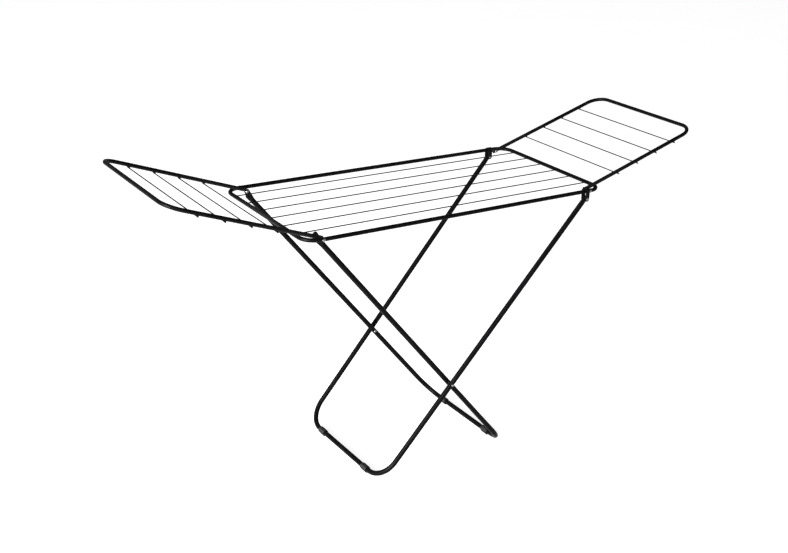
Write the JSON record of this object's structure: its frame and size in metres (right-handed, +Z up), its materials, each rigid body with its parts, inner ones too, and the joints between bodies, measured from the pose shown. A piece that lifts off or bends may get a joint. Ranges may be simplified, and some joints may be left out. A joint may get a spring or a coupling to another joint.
{
  "type": "clothes drying rack",
  "caption": "Folding floor-standing clothes drying rack with a wire-laid top frame, two raised side wings and crossing leg frames.",
  "frame": {"origin": "on the floor under the middle of the open rack", "axes": "+X along the length towards the end where the outer leg is hung, +Y across the rack, +Z up"},
  "size_m": [1.8097, 0.5152, 0.9933],
  "materials": {
    "frame": "satin black powder coat",
    "wire": "satin black powder coat",
    "strap": "satin black powder coat",
    "rivet": "bright zinc-plated steel",
    "plastic": "moulded black",
    "spacer": "moulded black"
  },
  "bodies": {
    "top_frame": {"top_frame_tube": "frame", "frame_joint_sleeve": "wire", "frame_wire_1": "wire", "frame_wire_2": "wire", "frame_wire_3": "wire", "frame_wire_4": "wire", "frame_wire_5": "wire", "frame_wire_6": "wire", "wing_rivet_left_near": "rivet", "wing_spacer_left_near": "spacer", "wing_rivet_left_far": "rivet", "wing_spacer_left_far": "spacer", "wing_rivet_right_near": "rivet", "wing_spacer_right_near": "spacer", "wing_rivet_right_far": "rivet", "wing_spacer_right_far": "spacer", "fixed_hanger_near": "strap", "hanger_rivet_near": "strap", "hanger_spacer_near": "spacer", "fixed_hanger_far": "strap", "hanger_rivet_far": "strap", "hanger_spacer_far": "spacer"},
    "wing_left": {"wing_left_tube": "frame", "wing_left_wire_1": "wire", "wing_left_wire_2": "wire", "wing_left_wire_3": "wire", "wing_left_wire_4": "wire", "wing_left_plug_near": "plastic", "wing_left_plug_far": "plastic"},
    "wing_right": {"wing_right_tube": "frame", "wing_right_wire_1": "wire", "wing_right_wire_2": "wire", "wing_right_wire_3": "wire", "wing_right_wire_4": "wire", "wing_right_plug_near": "plastic", "wing_right_plug_far": "plastic"},
    "leg_inner": {"leg_inner_tube": "frame", "leg_inner_foot_near": "plastic", "scissor_rivet_near": "rivet", "scissor_washer_near": "spacer", "leg_inner_foot_far": "plastic", "scissor_rivet_far": "rivet", "scissor_washer_far": "spacer"},
    "leg_outer": {"leg_outer_tube": "frame", "leg_outer_foot_near": "plastic", "leg_outer_foot_far": "plastic"},
    "leg_hangers": {"sliding_hanger_near": "strap", "sliding_rivet_near": "rivet", "sliding_hanger_far": "strap", "sliding_rivet_far": "rivet"}
  },
  "joints": [
    {"name": "frame_fold", "type": "hinge", "parent": "leg_inner", "child": "top_frame", "pos_m": [-0.4515, 0, 0.814], "axis": [0, -1, 0], "range_deg": [0, 34]},
    {"name": "leg_scissor", "type": "hinge", "parent": "leg_inner", "child": "leg_outer", "pos_m": [0, 0, 0.28544], "axis": [0, -1, 0], "range_deg": [0, 68]},
    {"name": "hanger_turn", "type": "hinge", "parent": "leg_outer", "child": "leg_hangers", "pos_m": [0.4515, 0, 0.814], "axis": [0, 1, 0], "range_deg": [0, 34]},
    {"name": "wing_left_lift", "type": "hinge", "parent": "top_frame", "child": "wing_left", "pos_m": [-0.4645, 0, 0.836], "axis": [0, 1, 0], "range_deg": [0, 159.4]},
    {"name": "wing_right_lift", "type": "hinge", "parent": "top_frame", "child": "wing_right", "pos_m": [0.4645, 0, 0.836], "axis": [0, -1, 0], "range_deg": [0, 161.2]}
  ],
  "couplings": [
    {"joint": "leg_scissor", "follows": "frame_fold", "ratio": 2},
    {"joint": "hanger_turn", "follows": "frame_fold", "ratio": 1}
  ]
}
